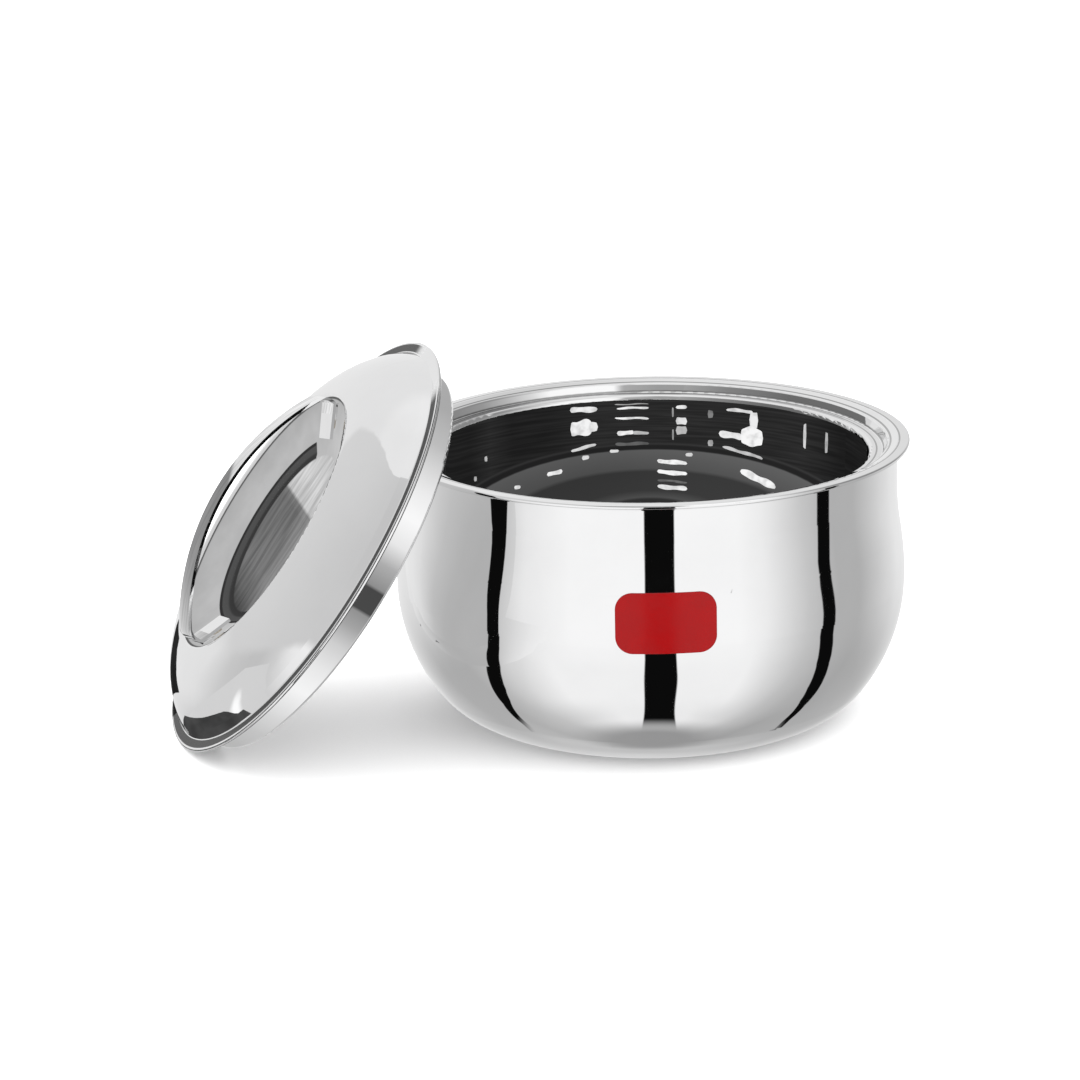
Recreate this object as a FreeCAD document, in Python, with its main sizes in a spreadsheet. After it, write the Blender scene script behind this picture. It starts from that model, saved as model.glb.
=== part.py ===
import FreeCAD
import Part
import Sketcher
import math
import os

# Insulated chapati casserole: a bellied, double-walled steel bowl and a lift-off lid that
# leans against its rim.
# Millimetres, +Z up. The origin is the centre of the bowl's foot, on the table, and +X points
# away from the side that the lid leans on. Every section is drawn in the XZ plane (radius,
# height) and turned about Z. The lid is drawn in its own frame, with Z along its axis and
# Z = 0 on the underside of its flange, and is then placed leaning.

DIMENSIONS = [
    # bowl, outside
    ("steel", 0.6),                 # sheet of all four drawn shells
    ("bowl_height", 120.0),         # table to the top of the rolled rim
    ("rim_radius", 111.0),          # outside of the rolled rim
    ("hem_bend", 0.15),             # inside radius of every folded edge
    ("hem_gap", 0.1),               # between a folded edge and the sheet that it grips
    ("rim_fold_width", 2.6),        # how far the rim sheet folds back under
    ("rim_overhang", 5.2),          # rim past the neck
    ("neck_length", 27.4),          # rim's top down to where the wall turns upright
    ("neck_flare", 2.4),            # radius of the flare from the neck into the rim
    ("belly_bulge", 3.5),           # belly past the neck
    ("belly_taper", 21.6),          # height over which the belly turns in to the neck
    ("belly_low", 35.2),            # height where the belly's two tangents meet
    ("foot_inset", 25.4),           # belly in to where the foot's tangent meets the table
    ("foot_arc", 35.0),
    ("belly_arc", 76.0),
    ("neck_arc", 126.0),
    # foot and base
    ("foot_ring_run", 23.9),        # from that point in to the inside of the standing ring
    ("foot_corner", 1.0),
    ("base_recess", 2.4),           # table to the underside of the ledge in the foot
    ("base_ledge", 10.0),           # width of that ledge, around the opening
    ("plate_thickness", 0.8),
    ("plate_side_gap", 1.2),
    ("plate_step_inset", 14.0),     # edge of the opening in to the plate's raised middle
    ("plate_step", 1.0),
    ("plate_step_width", 2.0),
    ("plate_bend", 0.1),            # inside radius of the plate's bends
    # inner bowl
    ("floor_height", 14.0),
    ("floor_corner", 26.0),
    ("wall_lean", 1.0),             # mouth past the floor's corner
    ("mouth_round", 2.0),
    ("rim_band", 11.2),             # rim in to the step around the ledge
    ("rim_flat", 5.0),              # level part of the rim, in to the sloping flange
    ("flange_corner", 5.0),
    ("ledge_drop", 5.0),            # rim's top down to the ledge that carries the lid
    ("ledge_width", 6.5),
    ("seat_gap", 0.6),              # between the lid's edge and the step around the ledge
    ("seat_corner", 1.0),
    ("step_run", 1.6),              # how far the step leans outwards
    ("step_rise", 3.6),
    ("step_corner", 1.2),
    # lid
    ("lid_fold_width", 3.2),
    ("lid_edge", 5.2),              # lid's edge in to the base of the dome
    ("dome_base_corner", 0.9),
    ("dome_slope_run", 13.1),       # base of the dome in to its shoulder
    ("dome_shoulder_height", 18.9),
    ("dome_arc", 45.0),
    ("crown_width", 19.3),          # shoulder in to the lip of the dish
    ("crown_rise", 3.3),
    ("dish_lip_round", 2.5),
    ("dish_wall_run", 22.8),        # lip in to the floor of the dish
    ("dish_depth", 11.4),
    ("dish_floor_corner", 8.0),
    ("skirt_gap", 2.3),             # between the skirt and the bowl's mouth
    ("skirt_depth", 12.7),          # flange underside to the lowest edge of the skirt
    ("skirt_corner", 2.0),
    ("skirt_top_corner", 0.8),
    ("panel_height", 5.5),          # skirt's lowest edge to the sunk panel under the lid
    ("panel_inset", 12.5),          # skirt in to the panel
    ("panel_slope_width", 4.0),
    ("panel_corner", 2.5),
    ("panel_foot_corner", 1.5),
    # handle
    ("strap_thickness", 1.3),
    ("strap_inset", 3.3),           # lip of the dish in to the outside of the strap
    ("strap_leg", 6.2),             # fold at the foot up to the shoulder of the arch
    ("strap_shoulder", 6.0),
    ("strap_slope", 30.6),          # degrees, the arch's slope where it meets its shoulders
    ("strap_straight", 1.6),        # straight run between a shoulder and the arch
    ("strap_fold", 2.0),            # outer radius of the fold into each foot
    ("tab_length", 14.4),           # of a foot, seen from above
    ("tab_end_lift", 1.1),          # from the dish wall up to the foot, at its free end
    ("tab_fold_lift", 0.52),        # the same at the fold
    ("strap_end_width", 16.0),
    ("strap_waist", 1.3),           # how far each side is drawn in at the middle
    ("strap_turn", 13.3),           # degrees, the strap's turn about the lid's axis
    ("stud_radius", 2.2),
    ("stud_spacing", 7.6),
    ("stud_row_gap", 6.0),          # from a foot's free end to its studs
    # fill plugs
    ("plug_radius", 5.0),
    ("plug_gap", 0.1),
    ("plug_head_overlap", 3.0),     # plug's head past its stem
    ("plug_head_thickness", 1.1),
    ("plug_barb", 0.8),
    ("plug_barb_height", 1.6),
    ("plug_stem_length", 5.0),
    # plain badge
    ("badge_thickness", 0.35),
    ("badge_width", 41.0),
    ("badge_height", 25.0),
    ("badge_corner", 7.0),
    ("badge_drop", 49.7),           # rim's top down to the middle of the badge
    ("badge_offset", 2.6),          # of its middle, towards +X
    # how the lid leans
    ("lean_tilt", 54.5),            # degrees from lying flat
    ("lean_turn", 13.6),            # degrees, about Z, towards -Y
    ("lean_shift", 13.7),           # along the rim, from the middle of the lean
    ("lean_gap", 0.3),              # left between the lid and the rim
]

doc = FreeCAD.newDocument("chapati_casserole")
sizes = doc.addObject("Spreadsheet::Sheet", "Sizes")
for row, (alias, value) in enumerate(DIMENSIONS, 1):
    sizes.set("A%d" % row, alias)
    sizes.set("B%d" % row, str(value))
    sizes.setAlias("B%d" % row, alias)
doc.recompute()

Vector = FreeCAD.Vector
ZERO = "0"
ROUNDED_SHARE = 0.99    # of a straight run, the most that the corners at its ends take up


def value_of(expression):
    """The number that an expression on the sheet gives, in millimetres or degrees."""
    result = sizes.evalExpression(expression)
    return float(getattr(result, "Value", result))


def cell(name):
    return "Sizes." + name


# ---------------------------------------------------------------- sketched sections

def constrain(sketch, expression, *constraint):
    """Add a constraint whose size follows an expression on the sheet."""
    index = sketch.addConstraint(Sketcher.Constraint(*constraint, value_of(expression)))
    sketch.setExpression("Constraints[%d]" % index, expression)


def corner_sides(points, i):
    """Directions from a node to its two neighbours, and half of the angle between them."""
    back = (points[i - 1] - points[i]).normalize()
    ahead = (points[(i + 1) % len(points)] - points[i]).normalize()
    return back, ahead, back.getAngle(ahead) / 2


def fitted_radii(points, radii):
    """The radii, smaller where two corners would meet on the straight run between them."""
    count = len(points)
    runs = [
        radius / math.tan(corner_sides(points, i)[2]) if radius else 0.0
        for i, radius in enumerate(radii)
    ]
    shares = [1.0] * count
    for i in range(count):
        j = (i + 1) % count
        room = (points[j] - points[i]).Length * ROUNDED_SHARE
        if runs[i] + runs[j] > room:
            share = room / (runs[i] + runs[j])
            shares[i] = min(shares[i], share)
            shares[j] = min(shares[j], share)
    return [radius * share for radius, share in zip(radii, shares)]


def corner_points(points, radii):
    """Where the straight runs stop on each side of each rounded corner, and its centre."""
    corners = []
    for i, (point, radius) in enumerate(zip(points, radii)):
        if radius == 0:
            corners.append((point, point, None))
            continue
        back, ahead, half = corner_sides(points, i)
        run = radius / math.tan(half)
        centre = point + (back + ahead).normalize() * (radius / math.sin(half))
        corners.append((point + back * run, point + ahead * run, centre))
    return corners


def add_arc(sketch, start, end, centre, radius):
    """An arc from start to end, and which of its own ends those are."""
    from_centre = start - centre
    to_centre = end - centre
    left_turn = from_centre.x * to_centre.y - from_centre.y * to_centre.x > 0
    first, last = (from_centre, to_centre) if left_turn else (to_centre, from_centre)
    circle = Part.Circle(centre, Vector(0, 0, 1), radius)
    arc = Part.ArcOfCircle(circle, math.atan2(first.y, first.x), math.atan2(last.y, last.x))
    index = sketch.addGeometry(arc, False)
    return (index, 1, 2) if left_turn else (index, 2, 1)


def draw_run(sketch, nodes, closed=False):
    """Straight runs through the nodes, rounded at each node that has a radius.

    A node is (across, up, radius), each an expression on the sheet. The nodes are held by
    their distances from the origin, and the runs pass through them.
    """
    points = [Vector(value_of(across), value_of(up), 0) for across, up, _ in nodes]
    asked = [value_of(radius) for _, _, radius in nodes]
    radii = fitted_radii(points, asked)
    rounding = [
        "(%s)" % node[2] if fitted == wanted else "%.6f" % fitted
        for node, fitted, wanted in zip(nodes, radii, asked)
    ]
    corners = corner_points(points, radii)
    marks = []
    for (across, up, _), point in zip(nodes, points):
        mark = sketch.addGeometry(Part.Point(point), True)
        constrain(sketch, across, "DistanceX", -1, 1, mark, 1)
        constrain(sketch, up, "DistanceY", -1, 1, mark, 1)
        marks.append(mark)

    count = len(nodes)
    lines = []
    for i in range(count if closed else count - 1):
        j = (i + 1) % count
        line = sketch.addGeometry(Part.LineSegment(corners[i][1], corners[j][0]), False)
        for node, line_end in ((i, 1), (j, 2)):
            if corners[node][2] is None:
                pin = Sketcher.Constraint("Coincident", marks[node], 1, line, line_end)
            else:
                pin = Sketcher.Constraint("PointOnObject", marks[node], 1, line)
            sketch.addConstraint(pin)
        lines.append(line)

    arcs = {}
    for i, (start, end, centre) in enumerate(corners):
        if centre is None:
            continue
        arc, first, last = add_arc(sketch, start, end, centre, radii[i])
        sketch.addConstraint(Sketcher.Constraint("Tangent", lines[i - 1], 2, arc, first))
        sketch.addConstraint(Sketcher.Constraint("Tangent", arc, last, lines[i], 1))
        constrain(sketch, rounding[i], "Radius", arc)
        arcs[i] = (centre, radii[i], rounding[i])
    return lines, corners, arcs


def draw_sheet(sketch, nodes, thickness, side):
    """The section of a formed sheet: one face along the nodes, the other face a thickness off.

    side is +1 for the left of the run and -1 for its right.
    """
    lines, corners, arcs = draw_run(sketch, nodes)
    gauge = value_of(thickness)

    def offset(start, end):
        along = (end - start).normalize()
        return Vector(-along.y, along.x, 0) * (side * gauge)

    twins = []
    twin_ends = []
    for i, line in enumerate(lines):
        start, end = corners[i][1], corners[i + 1][0]
        shift = offset(start, end)
        twin = sketch.addGeometry(Part.LineSegment(start + shift, end + shift), False)
        sketch.addConstraint(Sketcher.Constraint("Parallel", line, twin))
        constrain(sketch, thickness, "Distance", twin, 1, line)
        twins.append(twin)
        twin_ends.append((start + shift, end + shift))

    for i, (centre, radius, rounding) in arcs.items():
        before = twin_ends[i - 1][1]
        after = twin_ends[i][0]
        arc, first, last = add_arc(sketch, before, after, centre, (before - centre).Length)
        sketch.addConstraint(Sketcher.Constraint("Tangent", twins[i - 1], 2, arc, first))
        sketch.addConstraint(Sketcher.Constraint("Tangent", arc, last, twins[i], 1))
        grows = (before - centre).Length > radius
        twin_radius = rounding + (" + " if grows else " - ") + thickness
        constrain(sketch, twin_radius, "Radius", arc)

    for line, twin, line_end, point, twin_point in (
        (lines[0], twins[0], 1, corners[0][1], twin_ends[0][0]),
        (lines[-1], twins[-1], 2, corners[-1][0], twin_ends[-1][1]),
    ):
        cap = sketch.addGeometry(Part.LineSegment(point, twin_point), False)
        sketch.addConstraint(Sketcher.Constraint("Coincident", line, line_end, cap, 1))
        sketch.addConstraint(Sketcher.Constraint("Coincident", twin, line_end, cap, 2))
        sketch.addConstraint(Sketcher.Constraint("Perpendicular", line, cap))


# ---------------------------------------------------------------- bodies

def new_body(name, plane_role):
    """A PartDesign body with one sketch on one of its own origin planes."""
    body = doc.addObject("PartDesign::Body", name)
    body.Label = name
    sketch = body.newObject("Sketcher::SketchObject", name + "_section")
    plane = [f for f in body.Origin.OriginFeatures if f.Role == plane_role][0]
    sketch.AttachmentSupport = [(plane, "")]
    sketch.MapMode = "FlatFace"
    doc.recompute()
    return body, sketch


def turn_section(body, sketch):
    """Turn a body's section about its Z axis."""
    turned = body.newObject("PartDesign::Revolution", body.Name + "_turned")
    turned.Profile = sketch
    turned.ReferenceAxis = (sketch, ["V_Axis"])
    turned.Angle = 360
    sketch.Visibility = False
    body.Tip = turned
    doc.recompute()
    return body


def turned_sheet(name, nodes, thickness, side):
    body, sketch = new_body(name, "XZ_Plane")
    draw_sheet(sketch, nodes, thickness, side)
    return turn_section(body, sketch)


def turned_solid(name, nodes):
    body, sketch = new_body(name, "XZ_Plane")
    draw_run(sketch, nodes, closed=True)
    return turn_section(body, sketch)


def padded(name, plane_role, nodes, length):
    """A closed outline padded by a length, half to each side of its plane."""
    body, sketch = new_body(name, plane_role)
    draw_run(sketch, nodes, closed=True)
    pad = body.newObject("PartDesign::Pad", name + "_pad")
    pad.Profile = sketch
    pad.Midplane = True
    pad.setExpression("Length", length)
    sketch.Visibility = False
    body.Tip = pad
    doc.recompute()
    return body


def boolean(kind, name, base, tool):
    result = doc.addObject("Part::" + kind, name)
    result.Base = base
    result.Tool = tool
    result.Label = name
    doc.recompute()
    return result


def cut_away(name, block, tools):
    """Take each tool in turn out of a block. The last cut carries the name."""
    result = block
    for number, tool in enumerate(tools, 1):
        last = number == len(tools)
        step_name = name if last else "%s_less_%s" % (name, tool.Name)
        result = boolean("Cut", step_name, result, tool)
    return result


# ---------------------------------------------------------------- bowl sections

steel = cell("steel")
rim_top = cell("bowl_height")
rim_under = rim_top + " - 3 * " + steel
shell_flange = rim_top + " - 2 * " + steel
hem = steel + " + " + cell("hem_bend")
hem_gap = cell("hem_gap")
neck_radius = cell("rim_radius") + " - " + cell("rim_overhang")
neck_height = rim_top + " - " + cell("neck_length")
belly_radius = neck_radius + " + " + cell("belly_bulge")
belly_high = neck_height + " - " + cell("belly_taper")
foot_turn = belly_radius + " - " + cell("foot_inset")
foot_inner_radius = foot_turn + " - " + cell("foot_ring_run")
base_opening = foot_inner_radius + " - " + cell("base_ledge")
seat_radius = cell("rim_radius") + " - " + cell("rim_band")
step_top_radius = seat_radius + " + " + cell("step_run")
ledge_height = rim_top + " - " + cell("ledge_drop")
step_top_height = ledge_height + " + " + cell("step_rise")
flange_radius = cell("rim_radius") + " - " + cell("rim_flat")
mouth_radius = seat_radius + " - " + cell("ledge_width")
floor_radius = mouth_radius + " - " + cell("wall_lean")

# Outside of the outer shell, from its base opening out along the foot and up to the rim.
SHELL_START = (base_opening, cell("base_recess"), ZERO)
FOOT_TO_NECK = [
    (foot_inner_radius, cell("base_recess"), cell("foot_corner")),
    (foot_inner_radius, ZERO, cell("foot_corner")),
    (foot_turn, ZERO, cell("foot_arc")),
    (belly_radius, cell("belly_low"), cell("belly_arc")),
    (belly_radius, belly_high, cell("neck_arc")),
    (neck_radius, neck_height, cell("neck_arc")),
    (neck_radius, shell_flange, cell("neck_flare")),
]
SHELL_END = (cell("rim_radius") + " - " + steel + " - " + hem_gap, shell_flange, ZERO)
SHELL_OUTSIDE = [SHELL_START] + FOOT_TO_NECK + [SHELL_END]

# Inside of the inner bowl, from the middle of its floor up to the flange.
INNER_WALL = [
    (ZERO, cell("floor_height"), ZERO),
    (floor_radius, cell("floor_height"), cell("floor_corner")),
    (mouth_radius, ledge_height, cell("mouth_round")),
    (seat_radius, ledge_height, cell("seat_corner")),
    (step_top_radius, step_top_height, cell("step_corner")),
    (flange_radius, rim_top, cell("flange_corner")),
]
ROLLED_RIM = [
    (cell("rim_radius"), rim_top, hem),
    (cell("rim_radius"), rim_under, hem),
    (cell("rim_radius") + " - " + cell("rim_fold_width"), rim_under, ZERO),
]

outer_shell = turned_sheet("outer_shell", SHELL_OUTSIDE, steel, +1)
inner_bowl = turned_sheet("inner_bowl", INNER_WALL + ROLLED_RIM, steel, -1)

# The base plate lies against the underside of the ledge in the foot.
plate = cell("plate_thickness")
plate_under = cell("base_recess") + " - " + plate
plate_middle = plate_under + " + " + cell("plate_step")
plug_hole = cell("plug_radius") + " + " + cell("plug_gap")
plate_bend = plate + " + " + cell("plate_bend")
step_foot_radius = base_opening + " - " + cell("plate_step_inset")
PLATE_STEP = [
    (step_foot_radius, plate_middle, plate_bend),
    (step_foot_radius + " + " + cell("plate_step_width"), plate_under, plate_bend),
]
plate_edge = foot_inner_radius + " - " + cell("plate_side_gap")
base_plate = turned_sheet(
    "base_plate",
    [(plug_hole, plate_middle, ZERO)] + PLATE_STEP + [(plate_edge, plate_under, ZERO)],
    plate, +1)


def fill_plug(name, sheet_under, sheet_thickness):
    """A push-in plug: its head under a sheet, its barb just above it, its stem in the foam."""
    head_radius = cell("plug_radius") + " + " + cell("plug_head_overlap")
    head_under = sheet_under + " - " + cell("plug_head_thickness")
    sheet_top = sheet_under + " + " + sheet_thickness + " + " + cell("plug_gap")
    barb_radius = cell("plug_radius") + " + " + cell("plug_barb")
    stem_top = sheet_top + " + " + cell("plug_stem_length")
    return turned_solid(name, [
        (ZERO, head_under, ZERO),
        (head_radius, head_under, cell("plug_head_thickness") + " / 2"),
        (head_radius, sheet_under, ZERO),
        (cell("plug_radius"), sheet_under, ZERO),
        (cell("plug_radius"), sheet_top, ZERO),
        (barb_radius, sheet_top, ZERO),
        (cell("plug_radius"), sheet_top + " + " + cell("plug_barb_height"), ZERO),
        (cell("plug_radius"), stem_top, ZERO),
        (ZERO, stem_top, ZERO),
    ])


base_fill_plug = fill_plug("base_fill_plug", plate_middle, plate)

# Foam fills what the two shells, the base plate and the plug leave between them. The block
# that it is cut from ends in the two flanges, just past the neck's flare.
block_edge = neck_radius + " + " + cell("neck_flare") + " + " + steel
bowl_block = turned_solid("bowl_block", (
    [(ZERO, plate_middle, ZERO)] + PLATE_STEP
    + [(base_opening, plate_under, ZERO), SHELL_START] + FOOT_TO_NECK
    + [(block_edge, shell_flange, ZERO), (block_edge, rim_top, ZERO)]
    + INNER_WALL[::-1]
))
bowl_insulation = cut_away(
    "bowl_insulation", bowl_block, [outer_shell, inner_bowl, base_plate, base_fill_plug])

# The badge is a patch cut from a thin skin that lies on the belly.
badge_skin = turned_sheet("badge_skin", SHELL_OUTSIDE, cell("badge_thickness"), -1)
badge_middle = rim_top + " - " + cell("badge_drop")
badge_outline = padded("badge_outline", "XZ_Plane", [
    (
        "%s %s %s / 2" % (cell("badge_offset"), across, cell("badge_width")),
        "%s %s %s / 2" % (badge_middle, up, cell("badge_height")),
        cell("badge_corner"),
    )
    for across, up in (("-", "-"), ("+", "-"), ("+", "+"), ("-", "+"))
], cell("rim_radius"))
badge_outline.setExpression("Placement.Base.y", "-" + cell("rim_radius"))
label_badge = boolean("Common", "label_badge", badge_skin, badge_outline)

# ---------------------------------------------------------------- lid sections

lid_radius = seat_radius + " - " + cell("seat_gap")
lid_flange_top = "3 * " + steel
dome_base_radius = lid_radius + " - " + cell("lid_edge")
dome_shoulder_radius = dome_base_radius + " - " + cell("dome_slope_run")
dish_lip_radius = dome_shoulder_radius + " - " + cell("crown_width")
dish_lip_height = cell("dome_shoulder_height") + " + " + cell("crown_rise")
dish_floor_radius = dish_lip_radius + " - " + cell("dish_wall_run")
dish_floor_height = dish_lip_height + " - " + cell("dish_depth")
skirt_radius = mouth_radius + " - " + cell("skirt_gap")
skirt_under = "-" + cell("skirt_depth")
panel_radius = skirt_radius + " - " + cell("panel_inset")
panel_under = skirt_under + " + " + cell("panel_height")

# Top of the outer cover, from the middle of its dish to the dome's shoulder, then its base.
DISH_AND_SHOULDER = [
    (ZERO, dish_floor_height, ZERO),
    (dish_floor_radius, dish_floor_height, cell("dish_floor_corner")),
    (dish_lip_radius, dish_lip_height, cell("dish_lip_round")),
    (dome_shoulder_radius, cell("dome_shoulder_height"), cell("dome_arc")),
]
DOME_BASE = (dome_base_radius, lid_flange_top, cell("dome_base_corner"))
FOLDED_EDGE = [
    (lid_radius, lid_flange_top, hem),
    (lid_radius, ZERO, hem),
    (lid_radius + " - " + cell("lid_fold_width"), ZERO, ZERO),
]
# Underside of the inner cover, from its plug hole over the sunk panel and up the skirt.
PANEL_AND_SKIRT = [
    (panel_radius, panel_under, cell("panel_corner")),
    (panel_radius + " + " + cell("panel_slope_width"), skirt_under, cell("panel_foot_corner")),
    (skirt_radius, skirt_under, cell("skirt_corner")),
    (skirt_radius, steel, cell("skirt_top_corner")),
]

lid_outer_cover = turned_sheet(
    "lid_outer_cover", DISH_AND_SHOULDER + [DOME_BASE] + FOLDED_EDGE, steel, -1)
lid_inner_cover = turned_sheet(
    "lid_inner_cover",
    [(plug_hole, panel_under, ZERO)] + PANEL_AND_SKIRT
    + [(lid_radius + " - " + steel + " - " + hem_gap, steel, ZERO)],
    steel, +1)
lid_fill_plug = fill_plug("lid_fill_plug", panel_under, steel)
lid_block = turned_solid("lid_block", (
    DISH_AND_SHOULDER
    + [(dome_base_radius, lid_flange_top, ZERO), (dome_base_radius, steel, ZERO)]
    + PANEL_AND_SKIRT[::-1] + [(ZERO, panel_under, ZERO)]
))

# ---------------------------------------------------------------- handle

# Outer face of the strap, from one foot's free end over the arch to the other's.
half_span = "(" + dish_lip_radius + " - " + cell("strap_inset") + ")"
tab_end = "(" + half_span + " - " + cell("tab_length") + ")"
slope = cell("strap_slope") + " * 1 deg"
half_shoulder_turn = "(90 deg - " + slope + ") / 2"


def over_dish_wall(radius, lift):
    """Height at a lift over the dish wall, as far from the lid's axis as radius says."""
    return "%s + (%s - (%s)) * %s / %s + %s" % (
        dish_floor_height, radius, dish_floor_radius, cell("dish_depth"),
        cell("dish_wall_run"), lift)


tab_end_height = over_dish_wall(tab_end, cell("tab_end_lift"))
fold_height = over_dish_wall(half_span, cell("tab_fold_lift"))
shoulder_height = fold_height + " + " + cell("strap_leg")
peak = shoulder_height + " + " + half_span + " * tan(" + slope + ")"
arch_arc = "(%s / cos(%s) - %s * tan(%s) - %s) / tan(%s)" % (
    half_span, slope, cell("strap_shoulder"), half_shoulder_turn, cell("strap_straight"), slope)


def strap_side(sign):
    """The nodes of one end of the strap, from its free end up to its shoulder."""
    return [
        (sign + tab_end, tab_end_height, ZERO),
        (sign + half_span, fold_height, cell("strap_fold")),
        (sign + half_span, shoulder_height, cell("strap_shoulder")),
    ]


strap_body, strap_sketch = new_body("strap_profile", "XZ_Plane")
draw_sheet(
    strap_sketch,
    strap_side("-") + [(ZERO, peak, arch_arc)] + strap_side("")[::-1],
    cell("strap_thickness"), -1)
strap_pad = strap_body.newObject("PartDesign::Pad", "strap_profile_pad")
strap_pad.Profile = strap_sketch
strap_pad.Midplane = True
strap_pad.setExpression("Length", "2 * " + cell("strap_end_width"))
strap_body.Tip = strap_pad
doc.recompute()

# Seen from above, the strap is a little narrower in the middle than at its ends. Each side is
# one long arc that stops a fold's radius short of the ends. Its node lies as far again inside
# the arc as the arc is drawn in.
half_end = cell("strap_end_width") + " / 2"
waist_node = "(" + half_end + " - 2 * " + cell("strap_waist") + ")"
waist_arc = "(%s - %s) * %s / (2 * %s)" % (
    half_span, cell("strap_fold"), half_span, cell("strap_waist"))
strap_plan = padded("strap_plan", "XY_Plane", [
    ("-" + half_span, "-" + half_end, ZERO),
    (ZERO, "-" + waist_node, waist_arc),
    (half_span, "-" + half_end, ZERO),
    (half_span, half_end, ZERO),
    (ZERO, waist_node, waist_arc),
    ("-" + half_span, half_end, ZERO),
], "2 * (" + peak + ")")
lid_handle = boolean("Common", "lid_handle", strap_body, strap_plan)

# ---------------------------------------------------------------- placing the lid

def ring_reach(radius, height, roundness, tilt):
    """How far a round-edged ring reaches along a direction tilted from its axis."""
    return radius * math.sin(tilt) + height * math.cos(tilt) + roundness


def lid_placement():
    """The lid lying on its edge and leaning against the bowl's rim, a gap away from it."""
    tilt = math.radians(value_of(cell("lean_tilt")))
    turn = math.radians(value_of(cell("lean_turn")))
    corner = value_of(hem)
    skirt_corner = value_of(cell("skirt_corner"))
    folded_edge = ring_reach(value_of(lid_radius) - corner, -corner, corner, tilt)
    skirt_edge = ring_reach(
        value_of(skirt_radius) - skirt_corner,
        value_of(cell("skirt_depth")) - skirt_corner, skirt_corner, tilt)
    height = max(folded_edge, skirt_edge)
    rim = ring_reach(
        value_of(cell("rim_radius")) - corner, value_of(rim_top) - corner, corner, tilt)
    gap = value_of(cell("lean_gap"))
    away = (rim + gap - value_of(panel_under) - height * math.cos(tilt)) / math.sin(tilt)
    shift = value_of(cell("lean_shift"))

    out = Vector(-math.cos(turn), -math.sin(turn), 0)
    along = Vector(-math.sin(turn), math.cos(turn), 0)
    middle = out * away + along * shift + Vector(0, 0, height)
    axis = out * math.sin(tilt) + Vector(0, 0, math.cos(tilt))
    up_slope = Vector(0, 0, math.sin(tilt)) - out * math.cos(tilt)
    across = axis.cross(up_slope)
    frame = FreeCAD.Matrix(
        up_slope.x, across.x, axis.x, middle.x,
        up_slope.y, across.y, axis.y, middle.y,
        up_slope.z, across.z, axis.z, middle.z,
        0, 0, 0, 1)
    return FreeCAD.Placement(frame)


leaning = lid_placement()
strap_turned = FreeCAD.Placement(
    Vector(0, 0, 0), FreeCAD.Rotation(Vector(0, 0, 1), value_of(cell("strap_turn"))))
for piece in (lid_outer_cover, lid_inner_cover, lid_fill_plug, lid_block):
    piece.Placement = leaning
lid_handle.Placement = leaning.multiply(strap_turned)
doc.recompute()
lid_insulation = cut_away(
    "lid_insulation", lid_block, [lid_outer_cover, lid_inner_cover, lid_fill_plug])

# Studs stand on the dish wall and carry the feet of the strap, two side by side under each
# foot. Each is drawn long enough to sink into the cover, and what sinks in is cut off.
tab_rise = value_of(fold_height) - value_of(tab_end_height)
tab_angle = math.atan2(tab_rise, value_of(cell("tab_length")))
stud_row = value_of(tab_end + " + " + cell("stud_row_gap"))
stud_row_height = value_of(tab_end_height) + value_of(cell("stud_row_gap")) * math.tan(tab_angle)
half_spacing = value_of(cell("stud_spacing")) / 2
studs = []
for end in (-1, 1):
    for side in (-1, 1):
        under_foot = Vector(end * stud_row, side * half_spacing, stud_row_height)
        down = Vector(end * math.sin(tab_angle), 0, -math.cos(tab_angle))
        stud = doc.addObject("Part::Cylinder", "stud_%d" % (len(studs) + 1))
        stud.setExpression("Radius", cell("stud_radius"))
        stud.setExpression("Height", cell("tab_end_lift") + " + " + steel)
        turned = FreeCAD.Placement(under_foot, FreeCAD.Rotation(Vector(0, 0, 1), down))
        stud.Placement = leaning.multiply(strap_turned).multiply(turned)
        studs.append(stud)
stud_group = doc.addObject("Part::Compound", "stud_group")
stud_group.Links = studs
doc.recompute()
handle_studs = cut_away(
    "handle_studs", stud_group, [lid_outer_cover, lid_insulation])

# ---------------------------------------------------------------- checking and writing

PIECES = [
    outer_shell, inner_bowl, bowl_insulation, base_plate, base_fill_plug, label_badge,
    lid_outer_cover, lid_inner_cover, lid_insulation, lid_fill_plug, lid_handle, handle_studs,
]
doc.recompute()
for thing in doc.Objects:
    if {"Invalid", "Error"} & set(thing.State):
        raise RuntimeError("%s did not rebuild: %s" % (thing.Name, thing.State))
os.makedirs("parts", exist_ok=True)
for piece in PIECES:
    if piece.Shape.isNull() or not piece.Shape.isValid():
        raise RuntimeError("%s has no valid shape" % piece.Label)
    print("%-18s %d solid(s) %10.1f mm3" % (
        piece.Label, len(piece.Shape.Solids), piece.Shape.Volume))
    piece.Shape.exportStep("parts/%s.step" % piece.Label)
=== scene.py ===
import math

import bpy
from mathutils import Matrix, Vector

# The looks of the insulated chapati casserole. Metres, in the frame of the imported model: the
# bowl stands at the origin, +Z is up, and the lid leans on its -X side.

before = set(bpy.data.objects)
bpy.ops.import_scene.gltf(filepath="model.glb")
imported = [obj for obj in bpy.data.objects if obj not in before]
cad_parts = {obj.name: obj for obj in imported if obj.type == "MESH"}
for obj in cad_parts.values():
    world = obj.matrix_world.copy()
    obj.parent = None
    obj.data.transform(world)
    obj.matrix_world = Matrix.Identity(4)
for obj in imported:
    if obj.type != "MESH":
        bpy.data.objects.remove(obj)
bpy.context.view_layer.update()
MM = 0.001


# ---------------------------------------------------------------- node helpers

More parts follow.
